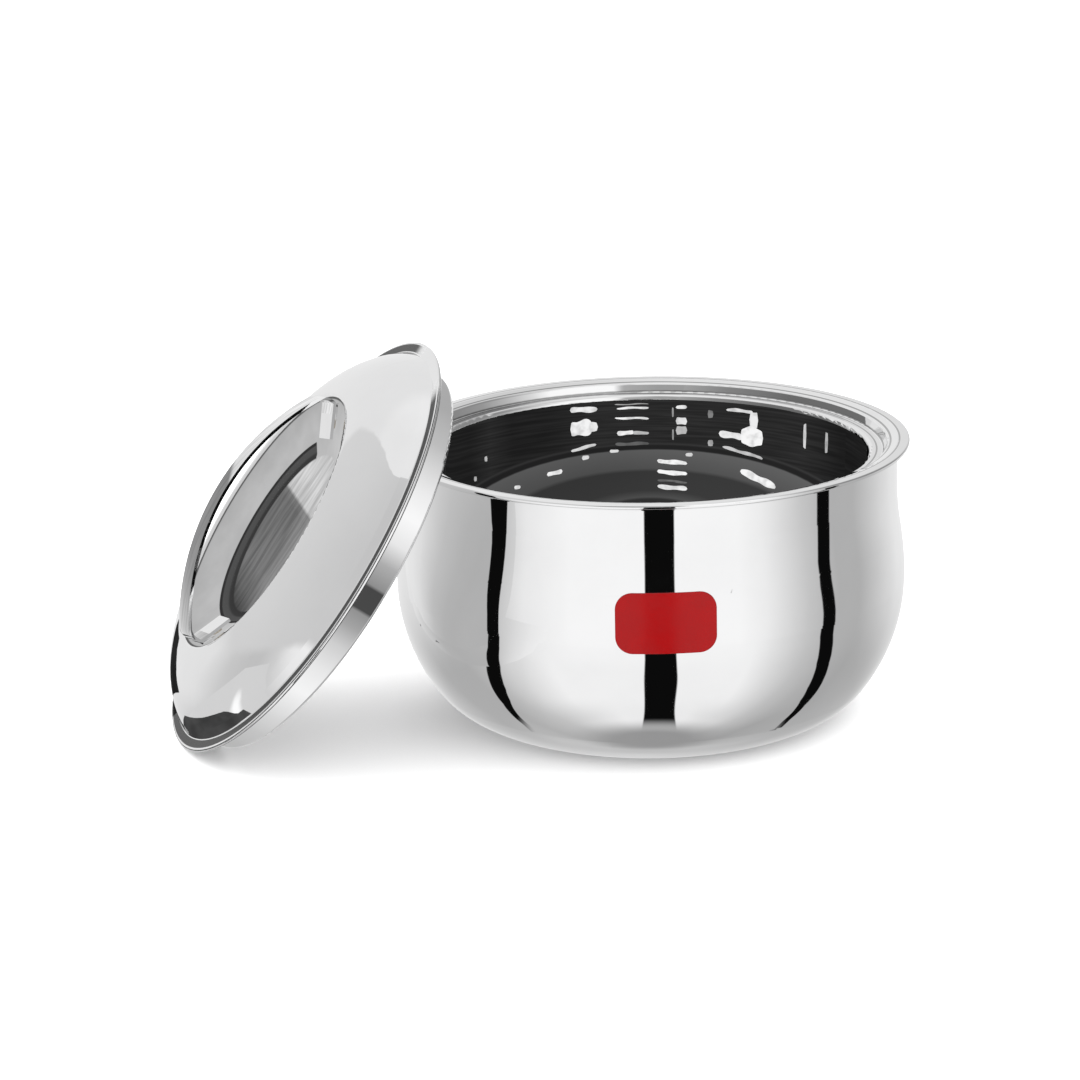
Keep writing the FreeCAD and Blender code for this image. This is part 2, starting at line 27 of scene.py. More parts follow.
class Nodes:
    """Adds nodes to one tree and links them, so that a shader reads like a formula."""

    def __init__(self, tree):
        self.tree = tree
        tree.nodes.clear()

    def add(self, kind, **settings):
        node = self.tree.nodes.new(kind)
        for name, value in settings.items():
            setattr(node, name, value)
        return node

    def plug(self, value, socket):
        if isinstance(value, bpy.types.NodeSocket):
            self.tree.links.new(value, socket)
        else:
            socket.default_value = value

    def fill(self, node, *values):
        """Gives a node's first inputs these values. Returns its first output."""
        for socket, value in zip(node.inputs, values):
            self.plug(value, socket)
        return node.outputs[0]

    def end(self, kind, shader):
        """Gives the shader to an output node."""
        self.plug(shader, self.add(kind).inputs[0])

    def math(self, operation, a, b=0.0):
        return self.fill(self.add("ShaderNodeMath", operation=operation), a, b)

    def times(self, a, b):
        return self.math("MULTIPLY", a, b)

    def minus(self, a, b):
        return self.math("SUBTRACT", a, b)

    def length(self, a, b):
        """The length of the vector (a, b)."""
        return self.math("SQRT", self.math("ADD", self.times(a, a), self.times(b, b)))

    def dot(self, a, b):
        node = self.add("ShaderNodeVectorMath", operation="DOT_PRODUCT")
        self.fill(node, a, b)
        return node.outputs["Value"]

    def place(self, middle=None):
        """Where the point is on the part, from its origin or from another middle."""
        here = self.add("ShaderNodeTexCoord").outputs["Object"]
        if middle is None:
            return here
        return self.fill(self.add("ShaderNodeVectorMath", operation="SUBTRACT"), here,
                         tuple(middle))

    def split(self, vector):
        node = self.add("ShaderNodeSeparateXYZ")
        self.fill(node, vector)
        return node.outputs

    def combine(self, x, y, z):
        return self.fill(self.add("ShaderNodeCombineXYZ"), x, y, z)

    def turn(self, x, y):
        """The direction of (x, y), in degrees from the front (-Y) towards +X."""
        return self.math("DEGREES", self.math("ARCTAN2", x, self.times(y, -1.0)))

    def ease(self, value, low, high, to_low=0.0, to_high=1.0):
        """A smooth step from to_low at low to to_high at high."""
        node = self.add("ShaderNodeMapRange", interpolation_type="SMOOTHSTEP")
        return self.fill(node, value, low, high, to_low, to_high)

    def fade(self, value, low, high):
        """A smooth step down, from 1 at low to 0 at high."""
        return self.ease(value, low, high, 1.0, 0.0)

    def band(self, value, low, high, soft):
        """1 between low and high, 0 outside, with soft edges."""
        return self.times(self.ease(value, low - soft, low + soft),
                          self.fade(value, high - soft, high + soft))

    def mix(self, share, a, b):
        """a where the share is 0, b where it is 1."""
        node = self.add("ShaderNodeMix", data_type="FLOAT")
        self.plug(share, node.inputs[0])
        self.plug(a, node.inputs[2])
        self.plug(b, node.inputs[3])
        return node.outputs[0]

    def either(self, share, a, b):
        """The shader a where the share is 0, b where it is 1."""
        return self.fill(self.add("ShaderNodeMixShader"), share, a, b)

    def steps(self, value, stops):
        """A brightness that follows the stops, each (value, brightness)."""
        low, high = stops[0][0], stops[-1][0]
        node = self.add("ShaderNodeValToRGB")
        ramp = node.color_ramp
        ramp.interpolation = "LINEAR"
        while len(ramp.elements) < len(stops):
            ramp.elements.new(1.0)
        for element, (at, bright) in zip(ramp.elements, stops):
            element.position = (at - low) / (high - low)
            element.color = (bright, bright, bright, 1.0)
        share = self.fill(self.add("ShaderNodeMapRange"), value, low, high, 0.0, 1.0)
        return self.fill(node, share)

    def greys(self, value, stops):
        """The same for stops of (value, grey that polished steel shows)."""
        return self.steps(value, [(at, seen(grey)) for at, grey in stops])

    def follow(self, value, stops):
        """A number that follows the stops, each (value, number), in straight runs."""
        total = stops[0][1]
        for (x0, y0), (x1, y1) in zip(stops, stops[1:]):
            run = self.fill(self.add("ShaderNodeMapRange"), value, x0, x1, 0.0, y1 - y0)
            total = self.math("ADD", run, total)
        return total

    def noise(self, vector, scale, detail=2.0, rough=0.5):
        node = self.add("ShaderNodeTexNoise")
        self.plug(vector, node.inputs["Vector"])
        node.inputs["Scale"].default_value = scale
        node.inputs["Detail"].default_value = detail
        node.inputs["Roughness"].default_value = rough
        return node.outputs[0]

    def bump(self, height, distance, normal=None):
        node = self.add("ShaderNodeBump")
        self.plug(height, node.inputs["Height"])
        node.inputs["Strength"].default_value = 1.0
        node.inputs["Distance"].default_value = distance
        if normal is not None:
            self.plug(normal, node.inputs["Normal"])
        return node.outputs[0]


def new_material(name):
    material = bpy.data.materials.new(name)
    material.use_nodes = True
    return material, Nodes(material.node_tree)


# ---------------------------------------------------------------- studio

MIRROR = 0.83       # how much of the light polished steel gives back
BLACK = 0.004       # brightness of the gaps between the studio's walls
BACKDROP = 0.985    # what the camera sees behind the floor
FILL_LIGHT = 2.3    # the even light on everything that isn't polished


def seen(grey):
    """The studio brightness that polished steel shows as this grey of an 8-bit picture."""
    share = grey / 255.0
    linear = share / 12.92 if share <= 0.04045 else ((share + 0.055) / 1.055) ** 2.4
    return linear / MIRROR


# The walls all round: for each direction, in degrees from the front, the grey of the wall
LOW_WALL = [
    (-180, 225), (-130, 222), (-110, 200), (-95, 192), (-85, 192), (-72, 206), (-60, 232),
    (-38, 246), (38, 246), (50, 236), (72, 197), (90, 175), (105, 175), (130, 212), (145, 225),
    (180, 225)]
GROUND_FAR = [
    (-180, 205), (-135, 172), (-105, 171), (-90, 185), (-70, 216), (-50, 240), (45, 240),
    (60, 215), (75, 190), (90, 175), (110, 165), (135, 172), (155, 180), (180, 205)]
GROUND_NEAR = [
    (-180, 190), (-140, 194), (-110, 175), (-80, 192), (-60, 213), (-25, 236), (25, 236),
    (60, 212), (75, 190), (100, 163), (120, 170), (150, 190), (180, 190)]
HIGH_WALL = [
    (-180, 225), (-32, 226), (-24, 155), (-8, 155), (12, 170), (17, 250), (52, 250), (62, 217),
    (76, 184), (92, 150), (110, 135), (135, 135), (152, 170), (180, 225)]
CEILING = [
    (-180, 235), (-135, 230), (-34, 230), (-25, 160), (-10, 155), (5, 188), (22, 205), (30, 246),
    (75, 246), (92, 215), (110, 195), (135, 190), (152, 226), (180, 235)]
UNDERFOOT, OVERHEAD = 150, 232      # greys straight below and straight above
# A large soft panel to the left: the direction of its near edge for each height, and its greys
PANEL_EDGE = [
    (-20, -141), (15, -141), (30, -139), (45, -134), (55, -127), (64, -115), (69, -100),
    (73, -80), (75, -60), (78, -30)]
PANEL = [(-180, 212), (-110, 208), (-40, 199), (-28, 192), (180, 192)]
# The dark gaps at the sides, by degrees below the horizon: how far they are from the middle of
# the front, and half their width
SIDE_GAP_MIDDLE = 3.0
SIDE_GAP_BEND = [
    (0, 79.0), (6, 79.0), (14, 81.3), (22, 82.0), (28, 85.0), (34, 88.6), (40, 93.9), (45, 99.0),
    (50, 105.5), (54, 114.5), (58, 124.0), (62, 134.0)]
SIDE_GAP_HALF_WIDTH = [(0, 3.4), (15, 3.8), (36, 5.0), (45, 5.9), (62, 3.2)]


def dark_gaps(n, x, y, turn, rise, drop):
    """1 in the dark gaps: two at the sides that bend back, one in front, a short one."""
    side = n.math("ABSOLUTE", n.minus(turn, SIDE_GAP_MIDDLE))
    off = n.math("ABSOLUTE", n.minus(side, n.steps(drop, SIDE_GAP_BEND)))
    side_gap = n.fade(n.minus(off, n.steps(drop, SIDE_GAP_HALF_WIDTH)), -0.4, 0.4)
    side_gap = n.times(side_gap, n.fade(drop, 55, 60))
    side_gap = n.times(side_gap, n.fade(rise, 2, 8))
    # The one on the left begins lower, because the lid is in front of it
    left = n.fade(turn, -1, 1)
    side_gap = n.times(side_gap, n.mix(left, 1.0, n.ease(drop, 20, 23)))

    narrowing = n.ease(drop, 35, 68, 1.0, 1.32)
    front_gap = n.times(n.band(n.times(x, narrowing), -0.075, 0.152, 0.006),
                        n.fade(y, -0.02, 0.0))
    front_gap = n.times(front_gap, n.fade(drop, 68, 80))
    front_gap = n.times(front_gap, n.fade(rise, 4, 8))

    # A short dark edge on the right, at table height
    edge_gap = n.times(n.band(n.minus(turn, rise), 29.8, 33.6, 0.3), n.band(turn, 34, 42, 0.5))
    return n.math("MAXIMUM", n.math("MAXIMUM", side_gap, front_gap), edge_gap)


def build_world():
    """A white studio as a polished surface sees it: bright walls, dark gaps between them.

    Only reflections see the walls. The camera sees an even backdrop, and matte surfaces get
    even light.
    """
    world = bpy.data.worlds.new("studio")
    world.use_nodes = True
    bpy.context.scene.world = world
    n = Nodes(world.node_tree)
    x, y, z = n.split(n.add("ShaderNodeTexCoord").outputs["Generated"])
    turn = n.turn(x, y)
    rise = n.math("DEGREES", n.math("ARCSINE", z))
    drop = n.times(rise, -1.0)

    # From the horizon down, and from the horizon up
    ground = n.mix(n.ease(drop, 12, 36), n.greys(turn, LOW_WALL), n.greys(turn, GROUND_FAR))
    ground = n.mix(n.ease(drop, 50, 66), ground, n.greys(turn, GROUND_NEAR))
    ground = n.mix(n.ease(drop, 68, 82), ground, seen(UNDERFOOT))
    sky = n.mix(n.ease(rise, 46, 60), n.greys(turn, HIGH_WALL), n.greys(turn, CEILING))
    sky = n.mix(n.ease(rise, 74, 84), sky, seen(OVERHEAD))
    panel = n.times(n.ease(n.minus(turn, n.follow(rise, PANEL_EDGE)), -1.2, 1.2),
                    n.fade(turn, -29, -25))
    panel = n.times(panel, n.fade(rise, 76, 79))
    sky = n.mix(panel, sky, n.greys(turn, PANEL))
    walls = n.mix(n.ease(rise, 1, 6), ground, sky)
    walls = n.mix(dark_gaps(n, x, y, turn, rise, drop), walls, BLACK)

    lit = n.add("ShaderNodeBackground")
    n.plug(walls, lit.inputs["Color"])
    even = n.add("ShaderNodeBackground")
    even.inputs["Color"].default_value = (1.0, 1.0, 1.0, 1.0)
    path = n.add("ShaderNodeLightPath")
    n.plug(n.mix(path.outputs["Is Camera Ray"], FILL_LIGHT, BACKDROP), even.inputs["Strength"])
    shader = n.either(path.outputs["Is Glossy Ray"], even.outputs[0], lit.outputs[0])
    n.end("ShaderNodeOutputWorld", shader)


def stage_mesh(name, points, faces, material):
    mesh = bpy.data.meshes.new(name)
    mesh.from_pydata(points, [], faces)
    thing = bpy.data.objects.new(name, mesh)
    bpy.context.scene.collection.objects.link(thing)
    mesh.materials.append(material)
    return thing


def build_floor():
    """A pale matte floor. Reflections show the studio's ground in its place."""
    half = 6.0
    material, n = new_material("pale_floor")
    shader = n.add("ShaderNodeBsdfDiffuse")
    grain = n.noise(n.place(), 900.0, 3.0)
    n.plug(n.ease(grain, 0.2, 0.8, 0.93, 0.95), shader.inputs["Color"])
    n.end("ShaderNodeOutputMaterial", shader.outputs[0])
    corners = [(-half, -half, 0), (half, -half, 0), (half, half, 0), (-half, half, 0)]
    floor = stage_mesh("floor", corners, [(0, 1, 2, 3)], material)
    floor.visible_glossy = False


# ---------------------------------------------------------------- cards
#
# Glowing cards close to the pieces, which only polished surfaces see. Most can only be seen from
# their front, so that they change what one surface reflects and nothing else. Their sizes are in
# millimetres.

# The lid's own frame: its middle on the underside of its flange, and three directions.
LID_MIDDLE = Vector((-146.977, -21.462, 80.67)) * MM
LID_AXIS = Vector((-0.79129, -0.19143, 0.58070))
LID_UP = Vector((0.5644, 0.1365, 0.8141))
LID_ACROSS = Vector((-0.2351, 0.9720, 0.0))


def lid_point(up, across, height):
    """A point given in millimetres in the lid's own frame."""
    return LID_MIDDLE + (LID_UP * up + LID_ACROSS * across + LID_AXIS * height) * MM


def lid_coordinates(n):
    """The place from the lid's middle, and its parts up and across the lid in millimetres."""
    place = n.place(LID_MIDDLE)
    up = n.times(n.dot(place, tuple(LID_UP)), 1000.0)
    across = n.times(n.dot(place, tuple(LID_ACROSS)), 1000.0)
    return place, up, across


def bowl_point(direction, height, radius):
    """A point given by its direction in degrees from the front, its height and its radius."""
    turn = math.radians(direction)
    return Vector((radius * math.sin(turn), -radius * math.cos(turn), height)) * MM


def bowl_coordinates(n):
    """The direction in degrees from the front, and the height in millimetres."""
    x, y, z = n.split(n.place())
    return n.turn(x, y), n.times(z, 1000.0)


def finish_card(n, shade, one_sided=True):
    """Gives the card its brightness. A one-sided card can't be seen from its back."""
    glow = n.add("ShaderNodeEmission")
    n.plug(shade, glow.inputs["Color"])
    shader = glow.outputs[0]
    if one_sided:
        back = n.add("ShaderNodeNewGeometry").outputs["Backfacing"]
        shader = n.either(back, shader, n.add("ShaderNodeBsdfTransparent").outputs[0])
    n.end("ShaderNodeOutputMaterial", shader)


def card_mesh(name, points, faces, material):
    """A card that only polished surfaces see."""
    card = stage_mesh(name, points, faces, material)
    card.visible_camera = False
    card.visible_diffuse = False
    card.visible_shadow = False
    card.visible_transmission = False
    return card


def add_band(points, faces, pairs):
    """Adds a band of faces between pairs of points."""
    first = len(points)
    for pair in pairs:
        points.extend(pair)
    for k in range(first, len(points) - 2, 2):
        faces.append((k, k + 2, k + 3, k + 1))


def add_wall(points, faces, start, end, radius, low, high):
    """Adds an upright band round the bowl's axis that faces outwards, in steps of 2 degrees."""
    add_band(points, faces, [(bowl_point(at, low, radius), bowl_point(at, high, radius))
                             for at in range(start, end + 1, 2)])


def add_turned(points, faces, profile, start, end, steps):
    """Adds the bands that a profile of (radius, height) leaves when it turns about the lid's axis.

    The angles are in degrees, from the lid's upper end towards its far side.
    """
    angles = [math.radians(start + (end - start) * i / steps) for i in range(steps + 1)]
    for ends in zip(profile, profile[1:]):
        add_band(points, faces, [
            tuple(lid_point(radius * math.cos(angle), radius * math.sin(angle), height)
                  for radius, height in ends) for angle in angles])


MOUTH_GREYS = [(-93, 62), (-60, 74), (-20, 96), (20, 100), (60, 80), (93, 66)]
# Windows over the mouth: from and to along X, from and to along Y
MOUTH_WINDOWS = [(-40, -24, -24, 40), (9, 15, -14, 66), (30, 48, -34, 40)]


def build_mouth_card():
    """What the inside of the bowl reflects: a dark room with a few bright windows."""
    radius, height, sides = 93.0, 113.0, 96
    material, n = new_material("window_card")
    place = n.split(n.place())
    x = n.times(place[0], 1000.0)
    y = n.times(place[1], 1000.0)
    shade = n.greys(x, MOUTH_GREYS)
    for left, right, near, far in MOUTH_WINDOWS:
        window = n.times(n.band(x, left, right, 0.4), n.band(y, near, far, 0.6))
        shade = n.mix(window, shade, seen(250))
    finish_card(n, shade)
    points = [bowl_point(90.0 + 360.0 * i / sides, height, radius) for i in range(sides)]
    card_mesh("window_card", points, [tuple(reversed(range(sides)))], material)


WALL_GREYS = [
    (90, 30), (122, 30), (135, 43), (190, 43), (206, 33), (216, 32), (223, 42), (230, 32),
    (270, 30)]
# The floor of the bowl as its wall shows it: rings about a place low on the wall
FLOOR_MIDDLE_TURN, FLOOR_MIDDLE_HEIGHT, FLOOR_STRETCH = 178.0, 60.0, 2.3
FLOOR_GREYS = [
    (0, 40), (5, 48), (6, 76), (9, 56), (18, 54), (19.5, 78), (28, 90), (28.6, 34), (30.2, 34),
    (31, 52), (32, 34)]


def build_wall_card():
    """What the bowl's upright wall reflects: the dark cavity and its floor."""
    material, n = new_material("wall_card")
    turn, height = bowl_coordinates(n)
    # The far wall's pattern, from 90 to 270 degrees, is repeated on the near wall
    turn = n.math("ADD", n.math("MODULO", n.math("ADD", turn, 270.0), 180.0), 90.0)
    lines = n.noise(n.combine(n.times(turn, 0.05), 0.0, n.times(height, 0.9)), 1.0, 3.0)
    shade = n.times(n.greys(turn, WALL_GREYS), n.ease(lines, 0.35, 0.7, 0.75, 1.3))
    ring = n.length(n.math("DIVIDE", n.minus(turn, FLOOR_MIDDLE_TURN), FLOOR_STRETCH),
                    n.minus(height, FLOOR_MIDDLE_HEIGHT))
    floor = n.times(n.greys(ring, FLOOR_GREYS), n.ease(turn, 150, 200, 1.15, 0.95))
    finish_card(n, n.mix(n.fade(ring, 31.0, 32.5), shade, floor))
    points, faces = [], []
    add_wall(points, faces, 0, 360, 87.0, 60.0, 112.4)
    # The sides, where the light grazes the wall, need it closer
    for start in (70, 250):
        add_wall(points, faces, start, start + 42, 92.3, 60.0, 112.6)
    card_mesh("wall_card", points, faces, material)


WINDOW_RADIUS = 87.3
# Bright windows in the wall: direction from, to, height from, to, rise of their slant, grey
WALL_WINDOWS = [
    (147, 153.5, 92.5, 101, 0, 250), (153, 159.5, 94.5, 97.5, 1, 240),
    (148.5, 151, 100.5, 108.5, 0, 240), (150, 157.5, 107.5, 109, 0, 230),
    (147, 158.5, 86.5, 88, 3.5, 205), (161, 162.5, 104, 107.5, 0, 130),
    (161, 162.5, 91, 93.5, 0, 180), (168, 171, 107.5, 109, 0, 240),
    (168, 171, 95.5, 99.5, 0, 190), (168, 171, 100, 103.5, 0, 230),
    (171.5, 172, 103.5, 108, 0, 170), (171.5, 172, 92.5, 98, 0, 160),
    (178, 186.5, 107.5, 108.5, 0, 245), (178, 187, 109.5, 110, 0, 170),
    (178, 187, 102.5, 103.5, 0.5, 250), (178, 182.5, 95.5, 97, 0, 190),
    (182, 186.5, 95.5, 97.5, 0, 250), (178, 187, 90.5, 92, 0, 100),
    (186, 188.5, 87.5, 89, 0, 225), (193, 199, 96.5, 103.5, 0, 245),
    (191.5, 194, 98, 102, 0, 235), (191.5, 199, 107, 109.5, 0.5, 240),
    (192, 199, 91, 92.5, -2, 225), (194, 196, 85, 87, 0, 240),
    (166.5, 168.5, 85.5, 87, 0, 235), (168, 176, 81, 83, 1, 250),
    (168, 176, 76, 78, 1, 250), (168, 176, 72.5, 73.5, 1, 110),
    (168, 176, 69, 71, 1, 245), (143, 153.5, 73, 76.5, 5.5, 250),
    (201.5, 206, 80, 82, -1, 245), (214, 216, 76, 77.5, 0, 235),
    (126, 127, 95, 105.5, 0, 180), (133.5, 134.5, 95.5, 106.5, 0, 225),
    (224.5, 225.5, 92, 94.5, 0, 190), (228.5, 229.5, 84, 86.5, 0, 190)]


def window_outline(left, right, low, high, slant, side, steps):
    """Pairs of points along a window that has rounded ends and an uneven outline."""
    pairs = []
    for i in range(steps + 1):
        share = i / steps
        at = left + (right - left) * share
        middle = (low + high) / 2 + slant * share + 0.15 * math.sin(0.9 * at + low)
        half = (high - low) / 2 * (1 - abs(2 * share - 1) ** 7) ** 0.4
        half *= 1 + 0.14 * math.sin(1.3 * at + 1.3 * low)
        pairs.append((bowl_point(side + at, middle - half, WINDOW_RADIUS),
                      bowl_point(side + at, middle + half, WINDOW_RADIUS)))
    return pairs


def build_wall_windows():
    """The bright windows in front of the wall card, the same on the far and the near side."""
    greys = sorted({window[5] for window in WALL_WINDOWS})
    points, faces, shades = [], [], []
    for left, right, low, high, slant, grey in WALL_WINDOWS:
        steps = max(8, round(3 * (right - left)))
        for side in (0.0, 180.0):
            add_band(points, faces, window_outline(left, right, low, high, slant, side, steps))
            shades += [greys.index(grey)] * steps
    materials = []
    for grey in greys:
        material, n = new_material("wall_window_%d" % grey)
        grain = n.noise(n.place(), 260.0, 2.0)
        finish_card(n, n.ease(grain, 0.3, 0.6, seen(grey * 0.86), seen(grey)))
        materials.append(material)
    windows = card_mesh("wall_windows", points, faces, materials[0])
    for material in materials[1:]:
        windows.data.materials.append(material)
    for face, shade in zip(windows.data.polygons, shades):
        face.material_index = shade


LEDGE_GREYS = [(100, 200), (116, 165), (125, 108), (145, 106), (160, 130), (170, 160)]


def build_ledge_card():
    """A darker stretch of the studio over the mouth, which the ledge's far right side reflects."""
    material, n = new_material("ledge_card")
    turn, height = bowl_coordinates(n)
    window = n.times(n.band(turn, 132, 136, 0.3), n.band(height, 117.5, 119.5, 0.3))
    finish_card(n, n.mix(window, n.greys(turn, LEDGE_GREYS), seen(245)))
    points, faces = [], []
    add_wall(points, faces, 100, 170, 90.0, 112.8, 128.0)
    card_mesh("ledge_card", points, faces, material)


# The dish's greys: by radius for the strip at the foot of its wall and for the wall above it, and
# by the distance up the lid for its floor
DISH_STRIP = [(36, 60), (38, 54), (40.0, 58), (40.8, 78), (43.0, 80), (43.5, 50), (45, 46)]
DISH_WALL = [(36, 186), (50, 186), (58, 178), (59.2, 176), (59.5, 96), (60.2, 96), (60.5, 225)]
DISH_FLOOR = [(-38, 70), (-30, 100), (-20, 114), (10, 112), (13, 122), (14.5, 194), (24, 204),
              (38, 198)]


def build_dish_card():
    """What the dish reflects: a dark strip at the foot of its wall, grey above and below it."""
    material, n = new_material("dish_card")
    place, up, across = lid_coordinates(n)
    radius = n.length(up, across)
    angle = n.math("DEGREES", n.math("ARCTAN2", up, across))
    mottle = n.ease(n.noise(place, 60.0, 3.0), 0.3, 0.7, 0.93, 1.05)
    wall = n.times(n.greys(radius, DISH_WALL), mottle)
    strip = n.times(n.fade(radius, 44.3, 44.7), n.fade(angle, 56.5, 57.5))
    wall = n.mix(strip, wall, n.greys(radius, DISH_STRIP))
    streaks = n.noise(n.combine(n.times(across, 0.22), n.times(up, 0.03), 0.0), 1.0, 3.0)
    floor = n.times(n.greys(up, DISH_FLOOR), n.ease(streaks, 0.3, 0.7, 0.72, 1.18))
    # The dark part of the floor gets paler towards its near side
    floor = n.times(floor, n.mix(n.ease(up, 11, 15), n.ease(across, -36, 4, 1.9, 1.0), 1.0))
    finish_card(n, n.mix(n.ease(radius, 37.4, 38.4), floor, wall))
    points, faces = [], []
    add_turned(points, faces, [(0.0, 11.07), (38.66, 11.1), (60.26, 22.16)], -90.0, 270.0, 90)
    card_mesh("dish_card", points, faces, material)


STRAP_GREYS = [
    (-58, 225), (-48, 192), (-36, 166), (-25, 146), (-10, 140), (8, 134), (11, 212), (22, 222),
    (58, 230)]


def build_strap_card():
    """What the top of the strap reflects: a greyer wall at its lower end, a bright one above.

    The card is a copy of the strap's outer face, just above it and turned over.
    """
    gap, foot_height, least_slope = 0.12 * MM, 20.0 * MM, 0.35
    material, n = new_material("strap_card")
    _, up, across = lid_coordinates(n)
    shade = n.greys(n.minus(up, n.times(across, 0.45)), STRAP_GREYS)
    streaks = n.noise(n.combine(n.times(across, 0.55), n.times(up, 0.05), 0.0), 1.0, 3.0)
    finish_card(n, n.times(shade, n.ease(streaks, 0.3, 0.7, 0.8, 1.12)))
    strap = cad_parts["lid_handle"]
    points, faces = [], []
    for face in strap.data.polygons:
        corners = [strap.matrix_world @ strap.data.vertices[i].co for i in face.vertices]
        normal = (corners[1] - corners[0]).cross(corners[2] - corners[0]).normalized()
        lowest = min((corner - LID_MIDDLE).dot(LID_AXIS) for corner in corners)
        if normal.dot(LID_AXIS) > least_slope and lowest > foot_height:
            first = len(points)
            points += [corner + LID_AXIS * gap for corner in corners]
            faces.append(tuple(reversed(range(first, len(points)))))
    card_mesh("strap_card", points, faces, material)


TABLE_DEPTH = -20.0
# The lid's shade on the table, in rows: Y, and X of its edge away from the lid and towards it
SHADE_ROWS = [
    (-112, -282, -262), (-100, -284, -258), (-80, -284, -240), (-60, -291, -230),
    (-40, -279, -222), (-20, -265, -216), (0, -255, -212), (20, -245, -210)]
# The dark edge that the dome shows along its far side: an upright card at this Y
FAR_SHADE_Y = 85.0
FAR_SHADE = [
    (-289, -24), (-232, -24), (-236, -10), (-240, 0), (-243, 28), (-262, 28), (-272, 10),
    (-281, -10)]


def shade_material(name, dark, pale):
    material, n = new_material(name)
    grain = n.noise(n.place(), 30.0, 2.0)
    finish_card(n, n.ease(grain, 0.3, 0.7, seen(dark), seen(pale)), False)
    return material


def build_table_cards():
    """The table beside the lid as its dome reflects it, with the lid's own shade."""
    material, n = new_material("table_card")
    place = n.split(n.place())
    x = n.times(place[0], 1000.0)
    y = n.times(place[1], 1000.0)
    side = n.math("ABSOLUTE", n.math("ADD", y, 84.0))
    streak = n.times(n.fade(side, 3, 15), n.ease(x, -480, -300))
    finish_card(n, n.mix(streak, seen(209), seen(253)), False)
    corners = [(-1600, -480), (-215, -130), (-215, 10), (-1600, 10)]
    points = [Vector((x_mm, y_mm, TABLE_DEPTH)) * MM for x_mm, y_mm in corners]
    card_mesh("table_card", points, [(0, 1, 2, 3)], material)

    points, faces = [], []
    height = TABLE_DEPTH + 0.4
    add_band(points, faces, [(Vector((inner, y_mm, height)) * MM,
                              Vector((outer, y_mm, height)) * MM)
                             for y_mm, outer, inner in SHADE_ROWS])
    card_mesh("shade_card", points, faces, shade_material("shade_card", 58, 74))

    points = [Vector((x_mm, FAR_SHADE_Y, z_mm)) * MM for x_mm, z_mm in FAR_SHADE]
    card_mesh("far_shade_card", points, [tuple(range(len(points)))],
              shade_material("far_shade_card", 30, 44))


# The grey card's greys: along a slanted line under the lid, round the lid's edge by the angle
# from its upper end, and beside the dark gap by the distance from it
UNDER_LID_GREYS = [
    (-120, 175), (-84, 177), (-60, 175), (-45, 178), (-22, 190), (-5, 206), (12, 218), (40, 226),
    (100, 229)]
LID_EDGE_GREYS = [
    (-180, 174), (-145, 178), (0, 200), (80, 230), (110, 229), (128, 222), (145, 200),
    (165, 178), (180, 174)]
BESIDE_GAP_GREYS = [(0, 198), (5, 204), (16, 215), (24, 222), (40, 233), (60, 240)]
# Where the dark gap's two edges are across the lid, by the distance up the lid
GAP_NEAR = [(-146, -73), (-117, -77.6), (-95, -82.1), (-76, -85.7), (-54, -88.2)]
GAP_FAR = [(-146, -48), (-117, -55.2), (-95, -62.1), (-76, -69.1), (-54, -74), (-25, -76)]


def build_card():
    """A grey card between the lid and the bowl, so that the bowl reflects a calm surface."""
    material, n = new_material("grey_card")
    _, up, across = lid_coordinates(n)
    shade = n.greys(n.math("ADD", across, n.times(up, 0.62)), UNDER_LID_GREYS)
    # Outside the lid's edge it carries on as the wall behind it
    angle = n.math("DEGREES", n.math("ARCTAN2", across, up))
    edge = n.ease(n.length(up, across), 96.0, 100.0)
    shade = n.mix(edge, shade, n.greys(angle, LID_EDGE_GREYS))
    # A dark gap, with a brighter wall on its near side
    near = n.follow(up, GAP_NEAR)
    far = n.follow(up, GAP_FAR)
    beside = n.minus(near, across)
    shade = n.mix(n.ease(beside, -2, 0), shade, n.greys(beside, BESIDE_GAP_GREYS))
    share = n.math("DIVIDE", n.minus(across, near), n.minus(far, near))
    finish_card(n, n.mix(n.band(share, 0, 1, 0.03), shade, BLACK))

    # It follows the lid's underside: round the plug, flat over the panel, then down past the
    # skirt and up round the flange. Below the lid's lower half it also spreads outwards.
    underside = [(0.0, -9.0), (10.0, -9.0), (14.0, -7.35), (77.5, -7.35), (81.0, -13.0),
                 (98.0, -13.0), (100.3, -1.0), (100.3, 2.6)]
    points, faces = [], []
    add_turned(points, faces, underside, 0.0, 360.0, 96)
    add_turned(points, faces, [(98.0, -13.0), (160.0, -13.0)], 98.0, 256.0, 60)
    card_mesh("grey_card", points, faces, material)


SKIRT_GREYS = [
    (-180, 170), (-156, 179), (-140, 195), (-130, 215), (-117, 246), (-108, 232), (-100, 207),
    (-94, 164), (-89.25, 144), (-89.1, 73), (-82.85, 72), (-82.7, 140), (-76, 174), (-70, 232),
    (-62, 250), (-54, 237), (-38, 190), (-22, 169), (40, 165)]


def build_skirt_card():
    """A ring round the lid's skirt that only the skirt sees, from the inside of the ring."""
    material, n = new_material("skirt_card")
    _, up, across = lid_coordinates(n)
    angle = n.math("DEGREES", n.math("ARCTAN2", across, up))
    finish_card(n, n.greys(angle, SKIRT_GREYS))
    points, faces = [], []
    add_turned(points, faces, [(92.0, -0.5), (92.0, -12.95)], -179.9, 25.1, 200)
    card_mesh("skirt_card", points, faces, material)


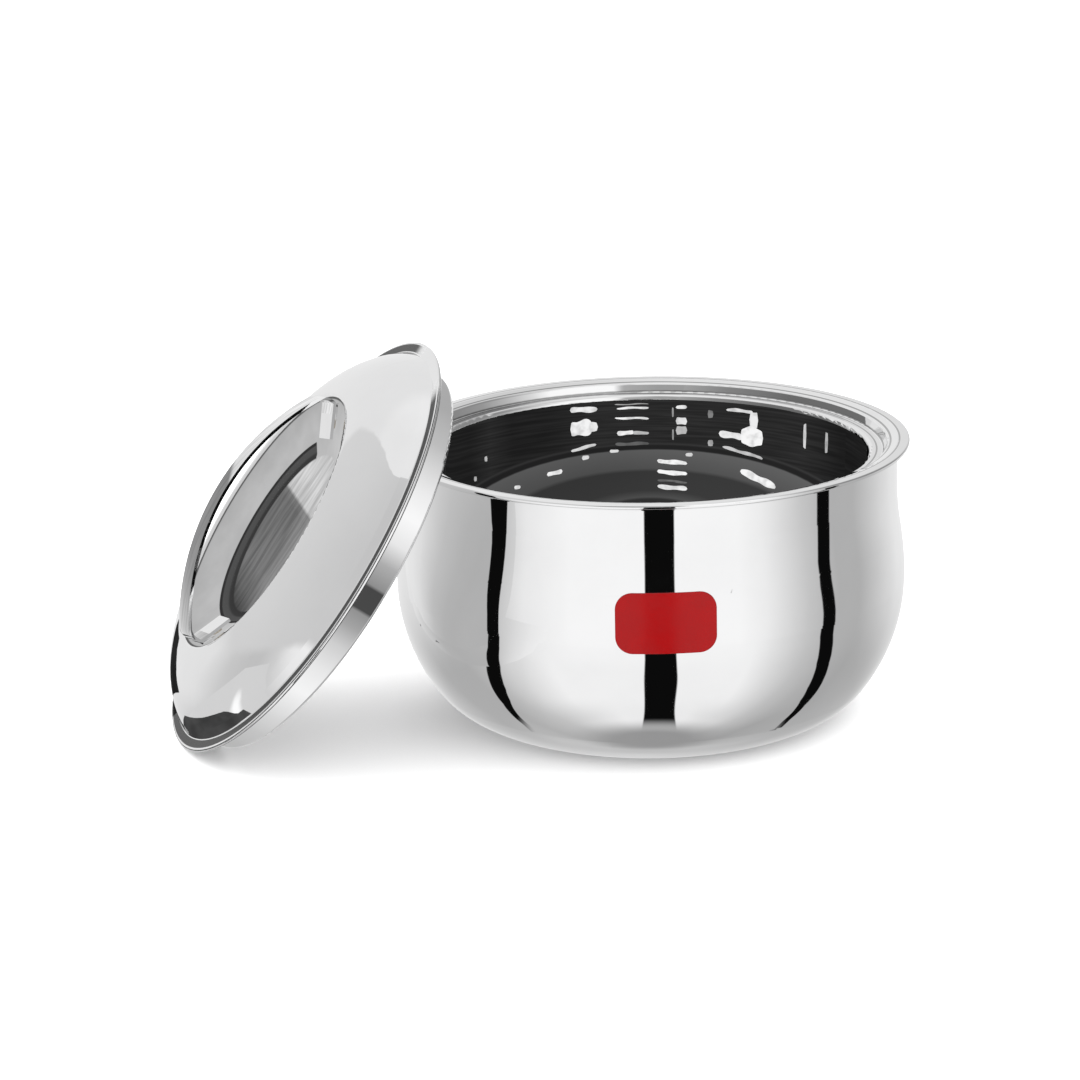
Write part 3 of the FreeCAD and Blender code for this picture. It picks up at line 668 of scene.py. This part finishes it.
def build_camera():
    """The view of the picture: from the front, a little above, turned a little on its axis."""
    aim = Vector((-47.3, 0.0, 74.8)) * MM
    distance = 1.5
    elevation = math.radians(16.13)
    roll = math.radians(-1.14)
    focal_px, frame_px = 3483.4, 1080.0
    forward = Vector((0, math.cos(elevation), -math.sin(elevation)))
    right = Vector((1, 0, 0))
    up = right.cross(forward)
    data = bpy.data.cameras.new("camera")
    data.sensor_width = 36.0
    data.lens = data.sensor_width * focal_px / frame_px
    data.clip_start = 0.05
    data.clip_end = 50.0
    camera = bpy.data.objects.new("camera", data)
    bpy.context.scene.collection.objects.link(camera)
    level = Matrix((right, up, -forward)).transposed()
    camera.matrix_world = (
        Matrix.Translation(aim - forward * distance)
        @ level.to_4x4() @ Matrix.Rotation(roll, 4, "Z"))
    bpy.context.scene.camera = camera


# ---------------------------------------------------------------- materials

SHINY = (MIRROR, MIRROR, MIRROR * 1.004)
SATIN = (0.62, 0.62, 0.63)
STRAW = (0.70, 0.64, 0.55)
RED = (0.205, 0.0022, 0.0028)
DARK = (0.034, 0.034, 0.037)
CREAM = (0.80, 0.68, 0.36)
# Of each round piece: a point on its axis, two directions across the axis, and the axis
BOWL_FRAME = (Vector((0, 0, 0)), Vector((1, 0, 0)), Vector((0, 1, 0)), Vector((0, 0, 1)))
LID_FRAME = (LID_MIDDLE, LID_UP, LID_ACROSS, LID_AXIS)


def start_material(name):
    material, n = new_material(name)
    shader = n.add("ShaderNodeBsdfPrincipled")
    n.end("ShaderNodeOutputMaterial", shader.outputs[0])
    return material, n, shader


def tinted(n, colour, shade, shader):
    """Gives the shader the colour, darkened by the shade."""
    tint = n.add("ShaderNodeMix", data_type="RGBA", blend_type="MULTIPLY")
    tint.inputs[0].default_value = 1.0
    tint.inputs[6].default_value = (*colour, 1.0)
    n.plug(shade, tint.inputs[7])
    n.plug(tint.outputs[2], shader.inputs["Base Color"])


def areas(n, radius, height, limits):
    """1 in the areas. Each area: lowest and highest radius, lowest and highest height, in mm."""
    total = 0.0
    for inner, outer, low, high in limits:
        area = n.times(n.band(radius, inner, outer, 0.12), n.band(height, low, high, 0.08))
        total = n.math("MAXIMUM", area, total)
    return total


def steel(name, frame_axes, roughness, lines, waves, colour=SHINY, painted_rings=(),
          painted_ring_shade=0.4, worn=(), unshaded_stretch=None):
    """Mirror-polished sheet: faint spun lines, slow waves in the sheet, wiped smudges.

    The lines and the waves are given by their depth. Painted shade darkens the painted rings: a
    painted dark line in the lid's creases and hem, painted dark reflections on the ledge. Fine
    scratches dull the worn edges. With an unshaded stretch, from and to along the second direction
    in mm, the painted shade is matte and near black, and left out along that stretch.
    """
    middle, first, second, axis = frame_axes
    material, n, shader = start_material(name)
    place = n.place(middle)
    across = n.dot(place, tuple(first))
    along = n.dot(place, tuple(second))
    height = n.dot(place, tuple(axis))
    radius = n.length(across, along)
    angle = n.math("ARCTAN2", along, across)
    profile = n.math("ADD", radius, height)
    round_x = n.math("COSINE", angle)
    round_y = n.math("SINE", angle)
    radius_mm = n.times(radius, 1000.0)
    height_mm = n.times(height, 1000.0)

    def spun_noise(over, around, detail, rough=0.5):
        """Noise that is fine over the lines and long along them."""
        return n.noise(n.combine(n.times(profile, over), n.times(round_x, around),
                                 n.times(round_y, around)), 1.0, detail, rough)

    fine_lines = spun_noise(2400.0, 2.2, 2.0)
    broad_lines = spun_noise(420.0, 1.6, 3.0)
    wipes = spun_noise(60.0, 6.0, 3.0, 0.6)
    slow_waves = n.noise(place, 16.0, 1.0)
    smudge = n.noise(place, 34.0, 4.0, 0.6)

    shade = n.ease(smudge, 0.3, 0.8, 1.0, 0.97)
    shader.inputs["Metallic"].default_value = 1.0
    # Painted shade: the painted rings get a darker tint (a painted dark line on the lid, painted
    # dark reflections on the ledge).
    if painted_rings:
        painted_ring_mask = areas(n, radius_mm, height_mm, painted_rings)
        # On the lid the painted shade is also matte and near black, and left out along the
        # unshaded stretch.
        if unshaded_stretch:
            unshaded_part = n.times(n.band(n.times(along, 1000.0), unshaded_stretch[0], unshaded_stretch[1], 7.0),
                            n.ease(n.times(across, 1000.0), 0, 10))
            painted_ring_mask = n.times(painted_ring_mask, n.minus(1.0, unshaded_part))
            n.plug(n.minus(1.0, painted_ring_mask), shader.inputs["Metallic"])
            shader.inputs["Specular IOR Level"].default_value = 0.1
        shade = n.mix(painted_ring_mask, shade, painted_ring_shade)
    tinted(n, colour, shade, shader)

    haze = n.math("ADD", n.ease(smudge, 0.45, 0.75, roughness, roughness * 1.9),
                  n.ease(wipes, 0.5, 0.8, 0.0, roughness * 0.8))
    if worn:
        scratches = n.ease(n.noise(place, 520.0, 3.0), 0.42, 0.62, 0.0, 0.07)
        haze = n.math("ADD", haze, n.times(scratches, areas(n, radius_mm, height_mm, worn)))
    n.plug(haze, shader.inputs["Roughness"])

    normal = n.bump(slow_waves, waves)
    normal = n.bump(broad_lines, lines * 1.6, normal)
    normal = n.bump(fine_lines, lines * 0.4, normal)
    n.plug(normal, shader.inputs["Normal"])
    return material


def strap_steel():
    """The strap of the handle: polished along its length, its long edges worn by the hand."""
    material, n, shader = start_material("polished_steel_strap")
    place = n.place(LID_MIDDLE)
    up = n.dot(place, tuple(LID_UP))
    across = n.dot(place, tuple(LID_ACROSS))
    height = n.dot(place, tuple(LID_AXIS))
    lines = n.noise(n.combine(n.times(across, 2600.0), n.times(up, 30.0),
                              n.times(height, 30.0)), 1.0, 3.0)
    waves = n.noise(place, 22.0, 1.0)
    smudge = n.noise(place, 60.0, 4.0, 0.6)
    from_middle = n.times(n.math("ABSOLUTE", across), 1000.0)
    worn = n.times(n.ease(from_middle, 8.6, 9.6), n.ease(n.noise(place, 240.0), 0.4, 0.6))
    tinted(n, SHINY, n.ease(smudge, 0.3, 0.8, 1.0, 0.96), shader)
    shader.inputs["Metallic"].default_value = 1.0
    haze = n.math("ADD", n.ease(smudge, 0.45, 0.75, 0.02, 0.04), n.times(worn, 0.05))
    n.plug(haze, shader.inputs["Roughness"])
    n.plug(n.bump(lines, 0.0000004, n.bump(waves, 0.000006)), shader.inputs["Normal"])
    return material


def weld_steel():
    """The studs: steel with the straw and grey tints of resistance welding."""
    material, n, shader = start_material("welded_steel")
    place = n.place()
    heat = n.noise(place, 420.0, 3.0, 0.6)
    tinted(n, STRAW, n.ease(heat, 0.35, 0.7, 1.0, 0.72), shader)
    shader.inputs["Metallic"].default_value = 1.0
    n.plug(n.ease(heat, 0.3, 0.7, 0.14, 0.3), shader.inputs["Roughness"])
    n.plug(n.bump(n.noise(place, 1800.0, 3.0), 0.000012), shader.inputs["Normal"])
    return material


# The badge's middle along X and Z, and half the width and height of the part inside the rounding
# of its corners
BADGE_MIDDLE = (0.0026, 0.0703)
BADGE_CORE = (0.0135, 0.0055)


def red_film():
    """The plain badge: red gloss film with a slight orange peel and a scuffed edge."""
    material, n, shader = start_material("red_gloss_film")
    place = n.place()
    parts = n.split(place)
    outside = []
    for value, middle, core in zip((parts[0], parts[2]), BADGE_MIDDLE, BADGE_CORE):
        away = n.minus(n.math("ABSOLUTE", n.minus(value, middle)), core)
        outside.append(n.math("MAXIMUM", away, 0.0))
    rim = n.length(*outside)
    scuff = n.times(n.ease(rim, 0.0066, 0.0069),
                    n.ease(n.noise(place, 700.0, 3.0), 0.38, 0.62))
    mottle = n.noise(place, 120.0, 3.0)
    tinted(n, RED, n.minus(n.ease(mottle, 0.3, 0.7, 1.0, 0.95), n.times(scuff, 0.25)), shader)
    shader.inputs["Specular IOR Level"].default_value = 0.16
    n.plug(n.math("ADD", n.ease(mottle, 0.35, 0.7, 0.16, 0.22), n.times(scuff, 0.3)),
           shader.inputs["Roughness"])
    n.plug(n.bump(n.noise(place, 1500.0, 1.0), 0.0000015), shader.inputs["Normal"])
    return material


def plug_plastic():
    """The plugs: dark moulded plastic with a fine grain and rubbed, paler high spots."""
    material, n, shader = start_material("dark_plug_plastic")
    place = n.place()
    grain = n.noise(place, 3200.0, 3.0)
    rubbed = n.noise(place, 300.0, 4.0, 0.6)
    tinted(n, DARK, n.ease(rubbed, 0.4, 0.75, 0.75, 1.0), shader)
    n.plug(n.ease(rubbed, 0.35, 0.7, 0.58, 0.42), shader.inputs["Roughness"])
    n.plug(n.bump(grain, 0.00002), shader.inputs["Normal"])
    return material


def foam():
    """Rigid polyurethane foam, cut through its cells."""
    material, n, shader = start_material("rigid_foam")
    place = n.place()
    cells = n.add("ShaderNodeTexVoronoi")
    n.plug(place, cells.inputs["Vector"])
    cells.inputs["Scale"].default_value = 1900.0
    # Painted shade: the hollows of the cut cells are darker.
    cell_pit_shade = n.ease(cells.outputs["Distance"], 0.0, 0.7, 0.74, 1.0)
    patches = n.noise(place, 45.0, 3.0)
    tinted(n, CREAM, n.times(cell_pit_shade, n.ease(patches, 0.3, 0.7, 0.9, 1.0)), shader)
    n.plug(n.ease(patches, 0.3, 0.7, 0.8, 0.95), shader.inputs["Roughness"])
    n.plug(n.bump(cells.outputs["Distance"], 0.00025), shader.inputs["Normal"])
    return material


def paint(material, *node_names):
    for node_name in node_names:
        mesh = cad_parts[node_name].data
        mesh.materials.clear()
        mesh.materials.append(material)


# Painted dark rings and worn edges, each by lowest and highest radius, lowest and highest height,
# in mm.
# The lid's rings are painted shade at its dome's foot and its hem; the ledge's are painted dark
# reflections.
LID_PAINTED_SHADE_RINGS = ((94.3, 98.0, 0.0, 3.0), (98.8, 99.6, 1.35, 2.2), (98.8, 99.6, -0.1, 0.6))
LEDGE_PAINTED_DARK_RINGS = ((96.6, 97.3, 112.4, 121.0), (99.6, 100.1, 112.4, 121.0),
                 (102.4, 103.2, 112.4, 121.0), (106.2, 106.9, 112.4, 121.0))
FOOT_WEAR = ((60.0, 67.5, -0.1, 1.2),)
INSIDE_WEAR = ((110.2, 111.5, 116.0, 120.5), (0.0, 60.0, 13.0, 16.0))
LID_WEAR = ((98.4, 99.5, 0.4, 1.5),)
SKIRT_WEAR = ((88.5, 91.2, -13.2, -11.8),)
BASE_WEAR = ((46.0, 52.0, -0.5, 6.0),)


def build_materials():
    paint(steel("polished_steel_bowl", BOWL_FRAME, 0.018, 0.0000005, 0.000003, worn=FOOT_WEAR),
          "outer_shell")
    # The ledge's dark rings are painted dark reflections.
    paint(steel("polished_steel_inside", BOWL_FRAME, 0.016, 0.0000006, 0.000012,
                painted_rings=LEDGE_PAINTED_DARK_RINGS, worn=INSIDE_WEAR), "inner_bowl")
    # The lid's dark line round the dome's foot is painted shade, left out along a stretch at its
    # upper end.
    paint(steel("polished_steel_lid", LID_FRAME, 0.02, 0.0000006, 0.00001, painted_rings=LID_PAINTED_SHADE_RINGS,
                painted_ring_shade=0.012, worn=LID_WEAR, unshaded_stretch=(-40.0, 8.0)), "lid_outer_cover")
    paint(steel("polished_steel_skirt", LID_FRAME, 0.02, 0.0000006, 0.000005, worn=SKIRT_WEAR),
          "lid_inner_cover")
    paint(steel("satin_steel_base", BOWL_FRAME, 0.24, 0.000004, 0.00001, SATIN,
                worn=BASE_WEAR), "base_plate")
    paint(strap_steel(), "lid_handle")
    paint(weld_steel(), "handle_studs")
    paint(red_film(), "label_badge")
    paint(plug_plastic(), "base_fill_plug", "lid_fill_plug")
    paint(foam(), "bowl_insulation", "lid_insulation")


bpy.context.scene.view_settings.view_transform = "Standard"
build_camera()
build_world()
build_floor()
build_card()
build_skirt_card()
build_mouth_card()
build_wall_card()
build_wall_windows()
build_ledge_card()
build_dish_card()
build_strap_card()
build_table_cards()
build_materials()
